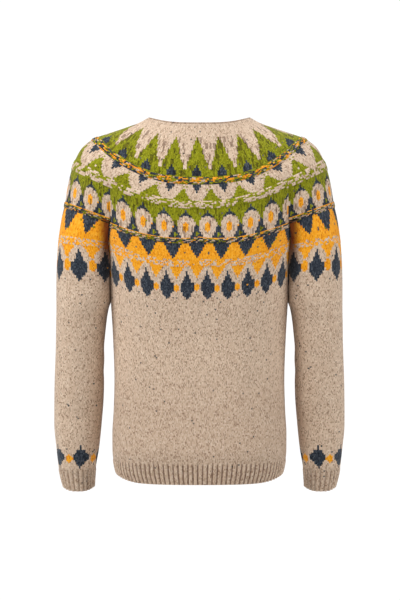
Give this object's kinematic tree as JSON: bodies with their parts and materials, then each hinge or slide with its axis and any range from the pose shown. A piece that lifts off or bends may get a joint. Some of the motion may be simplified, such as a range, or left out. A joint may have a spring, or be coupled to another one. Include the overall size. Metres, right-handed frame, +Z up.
{
  "type": "fair isle cardigan",
  "caption": "Long-sleeved knitted cardigan with a patterned round yoke, buttoned front, ribbed hem and cuffs, filled out as worn.",
  "frame": {"origin": "middle of the shoulder line, level with the two neck points, where the wearer's shoulders hold the garment", "axes": "+Z up along the body, the front looks along -Y, +X towards the wearer's left"},
  "size_m": [0.4912, 0.232, 0.6272],
  "materials": {
    "body_knit": "matte marled wool stocking stitch",
    "yoke_knit": "matte wool stranded colourwork",
    "rib_knit": "matte marled wool rib",
    "band_knit": "matte marled wool",
    "button": "polished horn effect"
  },
  "bodies": {
    "root": {"neckband": "band_knit", "yoke": "yoke_knit", "back": "body_knit", "front_left": "body_knit", "front_right": "body_knit", "sleeve_left": "body_knit", "sleeve_right": "body_knit", "hem_rib_back": "rib_knit", "hem_rib_front_left": "rib_knit", "hem_rib_front_right": "rib_knit", "cuff_left": "rib_knit", "cuff_right": "rib_knit", "button_band": "band_knit", "buttonhole_band": "band_knit", "button_1": "button", "button_2": "button", "button_3": "button", "button_4": "button", "button_5": "button", "button_6": "button", "button_7": "button", "button_8": "button"}
  },
  "joints": []
}
